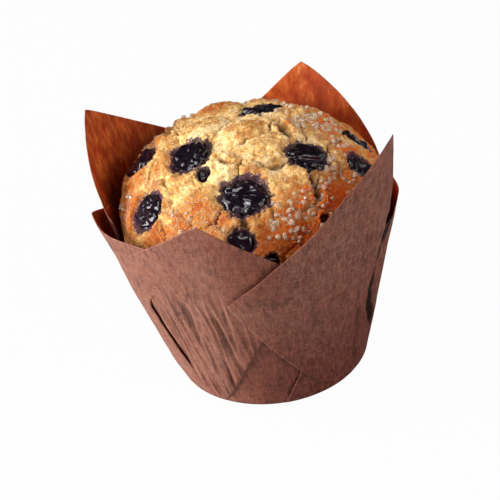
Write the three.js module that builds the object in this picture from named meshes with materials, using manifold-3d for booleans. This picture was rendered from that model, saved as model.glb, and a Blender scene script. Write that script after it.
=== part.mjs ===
// A blueberry muffin in its folded paper case: the baked crumb with a craggy, sugared crown, the berries that
// break its crust, and one sheet of brown baking paper pressed round it, with four pointed corners standing up.
// Millimetres, +Z up. The origin is the middle of the flat base, and the front of the muffin faces -Y.

import * as THREE from "three";
import { mergeVertices } from "three/addons/utils/BufferGeometryUtils.js";
import Module from "manifold-3d";

const wasm = await Module();
wasm.setup();

// Driving dimensions. A bearing is degrees round the axis, with 0 on +X and -90 at the front.
const BASE_RADIUS = 27.5; // outside of the paper at the base
const WALL_FLARE = 0.228; // radius gained for each millimetre of height
const BASE_ROUNDING = 1.4; // the base's soft edge
const PAPER = 0.45; // thickness of a ply of paper, with the hidden ply pressed against it
const CUP_INSET = 0.37; // how far the inner ply lies inside the outer wall line
const FILL_GAP = 0.4; // clearance between the crumb and the paper

const CROWN_RADIUS = 37.4; // the crown where it leaves the wall
const CROWN_BASE = 50; // height of that line
const CROWN_RISE = 24.2; // from that line to the top
const CROWN_SHIFT = -0.8; // the crown leans a little to the left

const BERRY_GAP = 0.45; // clearance between a berry and its pocket
const BERRY_SHOWS = 1.3; // how far a berry stands out of the crust
const BERRY_FLATNESS = 0.74; // a baked berry's thickness over its width
const BERRY_SECTION = 4; // a berry slumps flat as it bakes: the power of its squarish section
const DISH_DEPTH = 1.1; // the crust dips this far round a berry
const CRAG_RISE = 1.9; // height of the largest lump of crust
const CRUST_GRAIN = 0.45; // height of the small unevenness of the crust
const SUGAR_GRAINS = 60;
const SUGAR_RADIUS = 0.75;
const SEED = 7;

const CROWN_STEPS = 13;
const ROUND_STEPS = 60;

const rad = THREE.MathUtils.degToRad;
const { lerp, smoothstep, clamp } = THREE.MathUtils;

// The outer wall line of the case.
const wallRadius = (z) => BASE_RADIUS + WALL_FLARE * z;

// Each corner of the sheet stands up as a petal. Its two wings fold down to a narrow foot:
// left and right give the bearing of a wing's end and the heights of that end's fold and cut edge.
// bow lifts the cut edge above a straight line, fold bends the fold line, lift carries the wing over its neighbour,
// and bulges says whether the petal lies on the inner ply where that bulges.
const PETALS = [
  {
    name: "front",
    tip: { bearing: -111.5, height: 71.8 },
    left: { bearing: -149, low: 38, high: 53.2, bow: 0, fold: 2.2, lift: 0 },
    right: { bearing: -75, low: 49.5, high: 51, bow: 0, fold: 1.2, lift: 0 },
    foot: [-126, -125],
    bulges: 1,
  },
  {
    name: "right",
    tip: { bearing: -34, height: 82 },
    left: { bearing: -107, low: 40.5, high: 42, bow: 2.6, fold: 1.7, lift: 0.5 },
    right: { bearing: -24, low: 52, high: 59, bow: 0, fold: 0.6, lift: 0 },
    foot: [-48, -34],
    bulges: 0,
  },
  {
    name: "back",
    tip: { bearing: 64, height: 71.5 },
    left: { bearing: 8, low: 45, high: 47, bow: 0, fold: 1.5, lift: 0 },
    right: { bearing: 108, low: 44.5, high: 46, bow: -1.6, fold: 1.3, lift: 0 },
    foot: [42, 48],
    bulges: 0,
  },
  {
    name: "left",
    tip: { bearing: 160, height: 79 },
    left: { bearing: 88, low: 40.5, high: 42, bow: -1.6, fold: 1.6, lift: 0.5 },
    right: { bearing: 195, low: 52, high: 58, bow: 0, fold: 1.4, lift: 0 },
    foot: [138, 146],
    bulges: 0,
  },
];

// Between the petals the inner ply ends in a rim. Round the case, its height, and how far it bulges out of the wall:
// the pleat on the left stands well out, the one on the right a little.
const RIM = [
  { bearing: -172, height: 58.5, bulge: 4.6 },
  { bearing: -160, height: 59, bulge: 4.6 },
  { bearing: -134, height: 59.5, bulge: 1.6 },
  { bearing: -110, height: 50, bulge: 0 },
  { bearing: -72, height: 47, bulge: 0 },
  { bearing: -40, height: 44, bulge: 0 },
  { bearing: -24, height: 46, bulge: 1.2 },
  { bearing: -8, height: 51.5, bulge: 2.2 },
  { bearing: 5, height: 51.5, bulge: 0.6 },
  { bearing: 20, height: 47, bulge: 0 },
  { bearing: 100, height: 51, bulge: 0.4 },
  { bearing: 168, height: 50, bulge: 0 },
  { bearing: 181, height: 57, bulge: 0 },
  { bearing: 188, height: 58.5, bulge: 4.6 },
];

// Berries: bearing, lean from the top of the crown, length, width, and the turn of the long side, in degrees.
// raised lifts a berry that stands out further than the others.
const BERRIES = [
  { bearing: 66, lean: 29.5, length: 13.5, width: 11.5, turn: -40 },
  { bearing: -164, lean: 24, length: 15.5, width: 11.5, turn: 60 },
  { bearing: -94, lean: 39.5, length: 14, width: 12.5, turn: 75 },
  { bearing: -33, lean: 32.5, length: 12.5, width: 11.5, turn: 30 },
  { bearing: -152, lean: 59, length: 11.5, width: 10, turn: 10 },
  { bearing: 166, lean: 53, length: 11.5, width: 11, turn: 5, raised: 1 },
  { bearing: 169, lean: 77.5, length: 6, width: 6, turn: 0 },
  { bearing: -97.5, lean: 65, length: 8, width: 7.5, turn: 70 },
  { bearing: -14, lean: 60, length: 11, width: 10, turn: 15 },
  { bearing: 11, lean: 60, length: 11, width: 9, turn: 0 },
  { bearing: -129, lean: 29.5, length: 5, width: 3.8, turn: 20 },
  { bearing: 100, lean: 53, length: 13, width: 11.5, turn: 50 },
  { bearing: 70, lean: 66, length: 10.5, width: 9.5, turn: -20 },
  { bearing: 42, lean: 62, length: 11.5, width: 10, turn: 80 },
  { bearing: 132, lean: 65, length: 11, width: 10, turn: 35 },
  { bearing: -86, lean: 79, length: 5, width: 4.4, turn: 0 },
  { bearing: -57, lean: 65, length: 3.4, width: 3, turn: 0 },
];

// Lumps of risen crust, each with its reach across the crown. A spiral of smaller ones fills the rest.
const CRAGS = [
  { bearing: -55, lean: 17, reach: 9 },
  { bearing: 20, lean: 4, reach: 8 },
  { bearing: -112, lean: 25, reach: 6.5 },
  { bearing: -59, lean: 42, reach: 7.5 },
  { bearing: -144, lean: 37, reach: 7.5 },
  { bearing: 6, lean: 35, reach: 8 },
  { bearing: -86, lean: 58, reach: 6.5 },
  { bearing: -122, lean: 47, reach: 8 },
];
// At the left the crust swells out over the wall, into the pleat.
const SWELL = { bearing: -150, lean: 84, reach: 14, height: 2.2 };
const SPIRAL_CRAGS = 46;
const SPIRAL_REACH = 7;
const GOLDEN_ANGLE = 137.508;

// Numbers between 0 and 1 from a seed, the same on every run.
function randomFrom(seed) {
  let state = seed >>> 0;
  return () => {
    state = (Math.imul(state, 1664525) + 1013904223) >>> 0;
    return state / 2 ** 32;
  };
}

// A closed three.js geometry as a solid: shared corners merged, flat slivers at the poles dropped.
function solidOf(geometry) {
  const bare = new THREE.BufferGeometry();
  bare.setAttribute("position", geometry.getAttribute("position").clone());
  bare.setIndex(geometry.getIndex() ?? [...Array(geometry.getAttribute("position").count).keys()]);
  const merged = mergeVertices(bare, 1e-4);
  const corners = merged.index.array;
  const triVerts = [];
  for (let i = 0; i < corners.length; i += 3) {
    const [a, b, c] = corners.slice(i, i + 3);
    if (a !== b && b !== c && c !== a) triVerts.push(a, b, c);
  }
  const vertProperties = Float32Array.from(merged.attributes.position.array);
  return new wasm.Manifold(
    new wasm.Mesh({ numProp: 3, vertProperties, triVerts: Uint32Array.from(triVerts) }),
  );
}

// A solid back as a geometry, without any scrap that a cut has left loose.
function geometryOf(solid) {
  const [body] = solid.decompose().sort((a, b) => b.volume() - a.volume());
  const mesh = body.getMesh();
  const geometry = new THREE.BufferGeometry();
  geometry.setAttribute("position", new THREE.BufferAttribute(mesh.vertProperties, 3));
  geometry.setIndex(new THREE.BufferAttribute(mesh.triVerts, 1));
  geometry.computeVertexNormals();
  return geometry;
}

// Moves every corner of a geometry to the place that a function of its position gives.
function reshape(geometry, place) {
  const position = geometry.getAttribute("position");
  const point = new THREE.Vector3();
  for (let i = 0; i < position.count; i++) {
    point.fromBufferAttribute(position, i);
    position.setXYZ(i, ...place(point));
  }
  return geometry;
}

// Smooth unevenness between -1 and 1 from three crossing waves.
function ripple(point, scale) {
  const { x, y, z } = point;
  const first = Math.sin((x + 0.7 * y) / scale + 1.3) * Math.cos((z - 0.4 * x) / scale);
  const second = Math.sin((y - 0.6 * z) / scale + 4.1) * Math.cos((x + 0.5 * z) / scale + 0.8);
  return 0.5 * (first + second);
}

// A point of the plain crown, before its relief.
function crownPoint(bearing, lean) {
  const across = CROWN_RADIUS * Math.sin(rad(lean));
  return new THREE.Vector3(
    CROWN_SHIFT * Math.cos(rad(lean)) + across * Math.cos(rad(bearing)),
    across * Math.sin(rad(bearing)),
    CROWN_BASE + CROWN_RISE * Math.cos(rad(lean)),
  );
}

function crownNormal(bearing, lean) {
  const outward = Math.sin(rad(lean)) / CROWN_RADIUS;
  return new THREE.Vector3(
    outward * Math.cos(rad(bearing)),
    outward * Math.sin(rad(bearing)),
    Math.cos(rad(lean)) / CROWN_RISE,
  ).normalize();
}

const dishes = BERRIES.map((berry) => ({
  middle: crownPoint(berry.bearing, berry.lean),
  reach: (berry.length + berry.width) / 4,
}));

// The named lumps, and a golden spiral of smaller ones wherever there is room beside them.
function allCrags() {
  const lumps = CRAGS.map(({ bearing, lean, reach }) => ({ middle: crownPoint(bearing, lean), reach }));
  for (let i = 0; i < SPIRAL_CRAGS; i++) {
    const lean = 12 + 70 * Math.sqrt((i + 0.5) / SPIRAL_CRAGS);
    const middle = crownPoint(i * GOLDEN_ANGLE, lean);
    const clear = lumps.every((lump) => lump.middle.distanceTo(middle) > 0.75 * lump.reach);
    if (clear) lumps.push({ middle, reach: SPIRAL_REACH });
  }
  return lumps;
}
const crags = allCrags();

// How far the crust stands out of the plain crown: lumps that meet in creases, dips round the berries.
function relief(point, lean) {
  let lump = 0;
  for (const { middle, reach } of crags) {
    const share = 1 - (point.distanceTo(middle) / reach) ** 2;
    lump = Math.max(lump, share * (reach / 9));
  }
  let dish = 0;
  for (const { middle, reach } of dishes) {
    dish = Math.max(dish, 1 - smoothstep(point.distanceTo(middle), 0.8 * reach, 1.7 * reach));
  }
  const middling = 1 - 0.45 * smoothstep(lean, 30, 75);
  const fade = 1 - smoothstep(lean, 72, 88);
  const rough = CRUST_GRAIN * ripple(point, 2.1);
  return fade * (CRAG_RISE * middling * (lump - 0.45) - DISH_DEPTH * dish + rough);
}

function crustPoint(bearing, lean) {
  const plain = crownPoint(bearing, lean);
  const fromSwell = plain.distanceTo(crownPoint(SWELL.bearing, SWELL.lean));
  const swell = SWELL.height * (1 - smoothstep(fromSwell, 0, SWELL.reach));
  return plain.addScaledVector(crownNormal(bearing, lean), relief(plain, lean) + swell);
}

// A berry: a slumped round with a puckered skin, long side turned in the crust and mostly sunk in it.
function berryGeometry({ bearing, lean, length, width, turn, raised = 0 }, grow, detail) {
  const half = new THREE.Vector3(length, width, width * BERRY_FLATNESS).multiplyScalar(0.5);
  const normal = crownNormal(bearing, lean);
  const down = new THREE.Vector3(Math.cos(rad(bearing)), Math.sin(rad(bearing)), 0);
  const side = new THREE.Vector3().crossVectors(normal, down).normalize();
  const along = new THREE.Vector3().crossVectors(side, normal);
  const shows = BERRY_SHOWS - DISH_DEPTH + raised;
  const middle = crownPoint(bearing, lean).addScaledVector(normal, shows - half.z);
  const pose = new THREE.Matrix4()
    .makeBasis(along, side, normal)
    .multiply(new THREE.Matrix4().makeRotationZ(rad(turn)))
    .setPosition(middle);
  const pucker = (point) => 1 + (grow ? 0 : 0.05 * (ripple(point.clone().multiplyScalar(6), 1.4) - 1));
  const geometry = reshape(new THREE.IcosahedronGeometry(1, detail), (point) => {
    const level = Math.hypot(point.x, point.y);
    const slump = (level ** BERRY_SECTION + Math.abs(point.z) ** BERRY_SECTION) ** (-1 / BERRY_SECTION);
    const skin = pucker(point) * slump;
    return [point.x * (half.x * skin + grow), point.y * (half.y * skin + grow), point.z * (half.z * skin + grow)];
  });
  return geometry.applyMatrix4(pose);
}

// The crumb: wall and crown turned as one round, then given its relief.
function muffinBlank() {
  const inset = CUP_INSET + PAPER + FILL_GAP;
  const floor = PAPER + FILL_GAP;
  const profile = [
    new THREE.Vector2(0, floor),
    new THREE.Vector2(wallRadius(0) - inset - BASE_ROUNDING, floor),
    new THREE.Vector2(wallRadius(0) - inset - 0.3 * BASE_ROUNDING, floor + 0.3 * BASE_ROUNDING),
    new THREE.Vector2(wallRadius(BASE_ROUNDING) - inset, floor + BASE_ROUNDING),
  ];
  for (const z of [18, 34, 46]) profile.push(new THREE.Vector2(wallRadius(z) - inset, z));
  const crownStart = profile.length;
  for (let i = 0; i < CROWN_STEPS; i++) profile.push(new THREE.Vector2(1, i));
  profile.push(new THREE.Vector2(0, CROWN_STEPS));
  const blank = new THREE.LatheGeometry(profile, ROUND_STEPS);
  const rings = profile.length;
  const position = blank.getAttribute("position");
  for (let i = 0; i < position.count; i++) {
    const ring = i % rings;
    const bearing = -90 + (360 * Math.floor(i / rings)) / ROUND_STEPS;
    if (ring < crownStart) {
      const { x: radius, y: height } = profile[ring];
      position.setXYZ(i, radius * Math.cos(rad(bearing)), radius * Math.sin(rad(bearing)), height);
    } else {
      const lean = 88 * (1 - (ring - crownStart) / CROWN_STEPS);
      position.setXYZ(i, ...crustPoint(lean > 0 ? bearing : 0, lean));
    }
  }
  return solidOf(blank);
}

// Coarse sugar: the largest crystals, spread by a golden spiral and kept clear of the berries.
function sugarCrystals() {
  const random = randomFrom(SEED);
  const crystals = [];
  for (let i = 0; crystals.length < SUGAR_GRAINS && i < 4 * SUGAR_GRAINS; i++) {
    const bearing = i * GOLDEN_ANGLE + 12 * random();
    const lean = 14 + 60 * Math.sqrt(random());
    const spot = crownPoint(bearing, lean);
    const turn = new THREE.Euler(6 * random(), 6 * random(), 6 * random());
    const clear = dishes.every(({ middle, reach }) => middle.distanceTo(spot) > 1.25 * reach + 2 * SUGAR_RADIUS);
    if (!clear) continue;
    const crystal = new THREE.IcosahedronGeometry(SUGAR_RADIUS * lerp(0.75, 1.1, random()), 0);
    const place = crustPoint(bearing, lean).addScaledVector(crownNormal(bearing, lean), 0.15);
    crystal.scale(1, 0.85, 0.75);
    crystal.applyMatrix4(new THREE.Matrix4().makeRotationFromEuler(turn).setPosition(place));
    crystals.push(solidOf(crystal));
  }
  return crystals;
}

function muffinGeometry() {
  let body = muffinBlank();
  for (const crystal of sugarCrystals()) body = body.add(crystal);
  for (const berry of BERRIES) body = body.subtract(solidOf(berryGeometry(berry, BERRY_GAP, 1)));
  return geometryOf(body);
}

// The rim's height and bulge at a bearing, eased from each knot to the next.
function rimAt(bearing) {
  const turned = ((((bearing - RIM[0].bearing) % 360) + 360) % 360) + RIM[0].bearing;
  const next = RIM.findIndex((knot) => knot.bearing > turned);
  const from = RIM[next < 0 ? RIM.length - 1 : next - 1];
  const to = next < 0 ? { ...RIM[0], bearing: RIM[0].bearing + 360 } : RIM[next];
  const share = smoothstep(turned, from.bearing, to.bearing);
  return { height: lerp(from.height, to.height, share), bulge: lerp(from.bulge, to.bulge, share) };
}

// How far the inner ply stands out of the wall line, growing from nothing at the base to the rim.
function bulgeAt(bearing, z) {
  const { height, bulge } = rimAt(bearing);
  return bulge * Math.max(z / height, 0) ** 1.15;
}

// The inner ply: base and wall turned as one cup, with its rim cut to the sheet's sides.
function cupSolid() {
  const outside = (z) => wallRadius(z) - CUP_INSET;
  const inside = (z) => outside(z) - PAPER;
  const corner = outside(BASE_ROUNDING);
  const profile = [
    new THREE.Vector2(0, 0),
    new THREE.Vector2(corner - 1.15 * BASE_ROUNDING, 0),
    new THREE.Vector2(corner - 0.35 * BASE_ROUNDING, 0.28 * BASE_ROUNDING),
    new THREE.Vector2(corner, BASE_ROUNDING),
    new THREE.Vector2(outside(25), 25),
    new THREE.Vector2(outside(50), 50),
    new THREE.Vector2(inside(50), 50),
    new THREE.Vector2(inside(25), 25),
    new THREE.Vector2(inside(BASE_ROUNDING), BASE_ROUNDING),
    new THREE.Vector2(corner - 0.5 * BASE_ROUNDING, 0.28 * BASE_ROUNDING + PAPER),
    new THREE.Vector2(corner - 1.25 * BASE_ROUNDING, PAPER),
    new THREE.Vector2(0, PAPER),
  ];
  const cup = new THREE.LatheGeometry(profile, ROUND_STEPS).rotateX(Math.PI / 2);
  return solidOf(
    reshape(cup, (point) => {
      const bearing = THREE.MathUtils.radToDeg(Math.atan2(point.y, point.x));
      const radius = Math.hypot(point.x, point.y);
      const raise = clamp((point.z - BASE_ROUNDING) / (50 - BASE_ROUNDING), 0, 1);
      const height = point.z + raise * (rimAt(bearing).height - 50);
      const outward = WALL_FLARE * (height - point.z) + bulgeAt(bearing, height - BASE_ROUNDING);
      const widen = radius > 1 ? 1 + outward / radius : 1;
      return [point.x * widen, point.y * widen, height];
    }),
  );
}

// One petal: a sheet wrapped on the wall, from its fold lines and foot up to its two cut edges.
function petalSolid({ tip, left, right, foot, bulges }) {
  const cutHeight = (bearing) => {
    const wing = bearing < tip.bearing ? left : right;
    const share = (tip.bearing - bearing) / (tip.bearing - wing.bearing);
    return lerp(tip.height, wing.high, share) + wing.bow * Math.sin(Math.PI * share);
  };
  const foldHeight = (bearing) => {
    const [wing, heel] = bearing < foot[0] ? [left, foot[0]] : [right, foot[1]];
    const share = (bearing - heel) / (wing.bearing - heel);
    return share > 0 ? wing.low * share ** wing.fold : 0;
  };
  const lift = (bearing) =>
    left.lift * smoothstep(tip.bearing - bearing, 20, 36) + right.lift * smoothstep(bearing - tip.bearing, 20, 36);
  // Columns are packed so that one stands at the tip and one at each end of the foot.
  const marks = [left.bearing, foot[0], foot[1], tip.bearing, right.bearing].sort((a, b) => a - b);
  const steps = marks.slice(1).map((mark, i) => Math.max(1, Math.round((mark - marks[i]) / 8)));
  const bearings = [marks[0]];
  steps.forEach((count, i) => {
    for (let k = 1; k <= count; k++) bearings.push(lerp(marks[i], marks[i + 1], k / count));
  });
  const columns = bearings.length - 1;
  const sheet = new THREE.BoxGeometry(1, 1, 1, columns, 6, 1);
  return solidOf(
    reshape(sheet, ({ x, y, z }) => {
      const bearing = bearings[Math.round((x + 0.5) * columns)];
      const low = Math.max(foldHeight(bearing), 0.3);
      const height = lerp(low, cutHeight(bearing), (y + 0.5) ** 1.8);
      const bulge = bulges * bulgeAt(bearing, height - BASE_ROUNDING);
      const outer = wallRadius(height) - CUP_INSET + PAPER - 0.08 + lift(bearing) + bulge;
      // Near the base's soft edge the petal tucks in under the cup's curve.
      const tuck = 0.66 * BASE_ROUNDING * (1 - smoothstep(height, 0, BASE_ROUNDING)) ** 2;
      const radius = outer - tuck - (z < 0 ? PAPER : 0);
      return [radius * Math.cos(rad(bearing)), radius * Math.sin(rad(bearing)), height];
    }),
  );
}

function caseGeometry() {
  let sheet = cupSolid();
  for (const petal of PETALS) sheet = sheet.add(petalSolid(petal));
  return geometryOf(sheet);
}

const crust = new THREE.MeshStandardMaterial({ color: 0xcf8f45, roughness: 0.85, metalness: 0 });
const paper = new THREE.MeshStandardMaterial({ color: 0x7a4a3a, roughness: 0.8, metalness: 0 });
const skin = new THREE.MeshStandardMaterial({ color: 0x231a33, roughness: 0.35, metalness: 0 });

function named(name, geometry, material) {
  const mesh = new THREE.Mesh(geometry, material);
  mesh.name = name;
  return mesh;
}

const muffin = new THREE.Group();
muffin.add(named("paper_case", caseGeometry(), paper));
muffin.add(named("muffin", muffinGeometry(), crust));
BERRIES.forEach((berry, i) => {
  const number = String(i + 1).padStart(2, "0");
  const detail = berry.length > 8 ? 2 : 1;
  muffin.add(named(`berry_${number}`, berryGeometry(berry, 0, detail), skin));
});

export default muffin;
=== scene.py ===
"""A berry muffin in a folded paper case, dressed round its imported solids.

Lengths in the trees are millimetres and bearings are degrees round the axis, 0 on +X and -90 at the front.
Every tree ends by scaling its result to metres, so each finished piece sits in the frame of the solids.
"""

import math

import bpy
import numpy as np
from mathutils import Matrix, Vector


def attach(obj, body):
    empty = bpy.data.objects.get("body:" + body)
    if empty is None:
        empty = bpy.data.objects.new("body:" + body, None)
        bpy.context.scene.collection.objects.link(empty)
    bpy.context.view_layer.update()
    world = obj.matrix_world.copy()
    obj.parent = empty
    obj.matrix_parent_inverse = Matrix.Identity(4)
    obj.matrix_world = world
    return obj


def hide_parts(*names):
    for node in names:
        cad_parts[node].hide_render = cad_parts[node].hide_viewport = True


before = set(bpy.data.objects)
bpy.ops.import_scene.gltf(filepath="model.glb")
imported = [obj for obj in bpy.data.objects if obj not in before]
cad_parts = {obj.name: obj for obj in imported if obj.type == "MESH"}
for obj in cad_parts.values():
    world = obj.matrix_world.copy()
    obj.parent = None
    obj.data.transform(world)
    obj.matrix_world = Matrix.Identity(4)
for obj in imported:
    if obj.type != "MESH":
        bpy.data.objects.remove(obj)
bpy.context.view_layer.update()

MM = 0.001
SEED = 11

# The paper case: its wall line, the plies on it and its soft base edge.
BASE_RADIUS = 27.5
WALL_FLARE = 0.228
BASE_ROUNDING = 1.4
PLY = 0.16
CUP_INSET = 0.5
CUP_SEED = 4.0
WALL_PER_DEGREE = 0.6  # about how far round the wall a degree reaches

# The crown: an oval dome that leaves the wall at CROWN_BASE.
CROWN_RADIUS = 37.4
CROWN_BASE = 50.0
CROWN_RISE = 24.2
CROWN_SHIFT = -0.8
CROWN_LEAN = 88.0
CRUMB_INSET = 3.5

# The sheet's corners, which stand up as petals. Each wing: the bearing of its end, the heights of its fold and cut edge
# there, the bow of the cut edge, the bend of the fold line, and how far it lies over its neighbour.
PETALS = {
    "petal_front": {
        "Tip Bearing": -111.5, "Tip Height": 71.8, "Blunt": 0.5,
        "Left Bearing": -149.0, "Left Low": 38.0, "Left High": 53.2, "Left Bow": 0.0, "Left Fold": 2.2,
        "Right Bearing": -75.0, "Right Low": 49.5, "Right High": 51.0, "Right Bow": 0.0, "Right Fold": 1.2,
        "Left Lift": 0.0, "Right Lift": 0.0, "Gape": 0.0, "Foot Left": -126.0, "Foot Right": -125.0, "Left Slit": 0.0,
        "Right Slit": 0.25, "Bulges": 1.0, "Flute Depth": 0.6, "Flute Middle": -124.0, "Flute Reach": 34.0, "Flute Top": 50.0,
    },
    "petal_right": {
        "Tip Bearing": -34.0, "Tip Height": 82.0, "Blunt": 0.2,
        "Left Bearing": -107.0, "Left Low": 40.5, "Left High": 42.0, "Left Bow": 2.6, "Left Fold": 1.7,
        "Right Bearing": -24.0, "Right Low": 52.0, "Right High": 59.0, "Right Bow": 0.0, "Right Fold": 0.46,
        "Left Lift": 0.5, "Right Lift": 0.0, "Gape": 1.3, "Foot Left": -48.0, "Foot Right": -40.0, "Left Slit": 0.3,
        "Right Slit": 0.0, "Bulges": 0.0, "Flute Depth": 0.4, "Flute Middle": -34.0, "Flute Reach": 18.0, "Flute Top": 70.0,
    },
    "petal_back": {
        "Tip Bearing": 64.0, "Tip Height": 71.5, "Blunt": 0.3,
        "Left Bearing": 8.0, "Left Low": 45.0, "Left High": 47.0, "Left Bow": 0.0, "Left Fold": 1.5,
        "Right Bearing": 108.0, "Right Low": 44.5, "Right High": 46.0, "Right Bow": -1.6, "Right Fold": 1.3,
        "Left Lift": 0.0, "Right Lift": 0.0, "Gape": 0.0, "Foot Left": 42.0, "Foot Right": 48.0, "Left Slit": 0.6,
        "Right Slit": 0.3, "Bulges": 0.0, "Flute Depth": 0.22, "Flute Middle": 40.0, "Flute Reach": 24.0, "Flute Top": 46.0,
    },
    "petal_left": {
        "Tip Bearing": 160.0, "Tip Height": 79.0, "Blunt": 0.2,
        "Left Bearing": 88.0, "Left Low": 40.5, "Left High": 42.0, "Left Bow": -1.6, "Left Fold": 1.6,
        "Right Bearing": 195.0, "Right Low": 52.0, "Right High": 58.0, "Right Bow": 0.0, "Right Fold": 1.4,
        "Left Lift": 0.5, "Right Lift": 0.0, "Gape": 0.8, "Foot Left": 138.0, "Foot Right": 146.0, "Left Slit": 0.4,
        "Right Slit": 0.5, "Bulges": 0.0, "Flute Depth": 0.24, "Flute Middle": 140.0, "Flute Reach": 24.0, "Flute Top": 48.0,
    },
}

# The inner ply's rim round the case: bearing, height, and how far it bulges out of the wall.
RIM = [
    (-172, 58.5, 4.6), (-160, 59, 4.6), (-134, 59.5, 1.6), (-110, 50, 0), (-72, 47, 0), (-40, 44, 0), (-26, 45.5, 0),
    (-19, 48, 1.4), (-8, 51.5, 1.9), (5, 51.5, 0.6), (20, 47, 0), (100, 51, 0.4), (168, 50, 0), (181, 57, 0), (188, 58.5, 4.6),
]
BULGE_POWER = 1.15

# Loose folds on the wall: the bearings of both edges at the foot and the top, the bend of these edges, the height, how
# far each edge stands off, how far out the fold lies, and where it goes under a petal and how far its edge tucks there.
FLAPS = {
    "case_low_fold": {
        "Left Foot": -88.8, "Left Top": -76.0, "Right Foot": -46.0, "Right Top": -46.0, "Bend": 0.85, "Top": 16.5,
        "Left Free": 0.6, "Right Free": 0.0, "Lies": 0.2, "Under": 40.0, "Tucked": 0.0, "Wander": 3.0, "Seed": 41.0,
    },
    "case_left_fold": {
        "Left Foot": -160.0, "Left Top": -171.5, "Right Foot": -125.5, "Right Top": -153.0, "Bend": 0.45, "Top": 58.0,
        "Left Free": 0.0, "Right Free": 0.7, "Lies": 0.75, "Under": 34.0, "Tucked": 16.0, "Wander": 4.0, "Seed": 52.0,
    },
}

# Lines of (bearing, height) where the inner ply tucks in behind a fold of the outer one.
TUCKS = [
    [
        (-18.5, 51), (-22.5, 44.5), (-25.5, 39), (-27.5, 35), (-29, 31), (-29, 27), (-26.5, 22), (-22.5, 17.5), (-18, 12),
        (-16, 7),
    ],
    [(12, 42), (22, 28), (32, 14), (41, 2)],
    [(176, 40), (166, 24), (156, 12), (148, 2)],
]

# Lumps of risen crust: bearing, lean from the top, reach. A golden spiral of smaller ones fills the rest.
CRAGS = [
    (-55, 17, 9), (20, 4, 8), (-112, 25, 6.5), (-59, 42, 7.5), (-144, 37, 7.5), (6, 35, 8), (-86, 58, 6.5), (-122, 47, 8),
]
SPIRAL_CRAGS = 46
SPIRAL_REACH = 7.0
GOLDEN_ANGLE = 137.508

# At the left the crust swells out over the wall, into the pleat: bearing, lean, reach, height.
SWELLS = [(-150, 84, 14, 2.2)]

# Where the crust has split: lines of (bearing, lean).
SPLITS = [
    [(-140, 23), (-124, 19.5), (-105, 22.5), (-76, 27), (-57, 30), (-46, 33)],
    [(62, 17), (29, 17.5), (-5, 17), (-22, 22)],
    [(50, 31), (37, 34), (24, 40)],
    [(-45, 38), (-48, 42), (-53, 52)],
    [(-97, 52), (-94, 58)],
    [(80, 47), (95, 40), (112, 45)],
    [(130, 50), (145, 44), (150, 38)],
]

# Patches of the crust: bearing, lean, reach and strength. Browned ones are pale where the strength is below 0.
BROWNED = [
    (-57, 15, 10, -0.2), (-113, 26, 6, -0.3), (-135, 36, 8, -0.25), (-104, 44, 5, -0.2), (-93, 57, 5, -0.3),
    (-56, 41, 6, -0.2), (148, 18, 7, -0.15), (-70, 31, 4, -0.2), (80, 48, 8, -0.25), (125, 50, 7, -0.2),
    (-69, 60, 11, 0.3), (-40, 56, 10, 0.3), (-116, 52, 9, 0.1), (-169, 73, 8, 0.1), (-138, 69, 8, 0.1), (9, 38, 11, 0.3),
    (106, 34, 6, 0.2), (-84, 69, 6, 0.3), (-124, 39, 3.5, 0.3), (-133, 34, 3, 0.2), (44, 9, 4, 0.2), (-96, 14, 3, 0.15),
    (-124, 7, 3, 0.2), (-146, 60, 15, -0.25), (60, 68, 9, 0.3), (110, 66, 9, 0.3), (145, 60, 8, 0.2),
]
SUGARED = [
    (-67, 56, 11, 0.8), (-40, 53, 10, 0.8), (13, 36, 11, 0.9), (-5, 47, 7, 0.7), (-27, 42, 6, 0.9), (-78, 62, 7, 0.6),
    (-173, 70, 7, 0.25), (-128, 60, 9, 0.3), (-105, 52, 5, 0.5), (-37, 26, 4, 0.6), (32, 26, 6, 0.6),
    (58, 55, 10, 0.7), (85, 62, 10, 0.6), (118, 58, 9, 0.5), (150, 66, 8, 0.4),
]
FROSTED = [
    (-125, 59, 12, 1.0), (-163, 48, 8, 0.7), (-60, 54, 14, 0.8), (9, 38, 13, 1.0), (-110, 55, 8, 1.0), (-171, 71, 8, 0.8),
    (-19, 49, 8, 0.7), (-98, 49, 5, 0.7), (60, 56, 14, 0.8), (100, 58, 14, 0.8), (140, 58, 12, 0.7),
]
STAINED = [
    (-15, 53, 4, 0.7), (-155, 31, 4.5, 0.7), (180, 33, 3.5, 0.8), (-133, 29, 4, 0.8), (177, 15, 3, 0.8), (-19, 49, 3, 0.4),
    (-49, 35, 3, 0.6),
]


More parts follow.
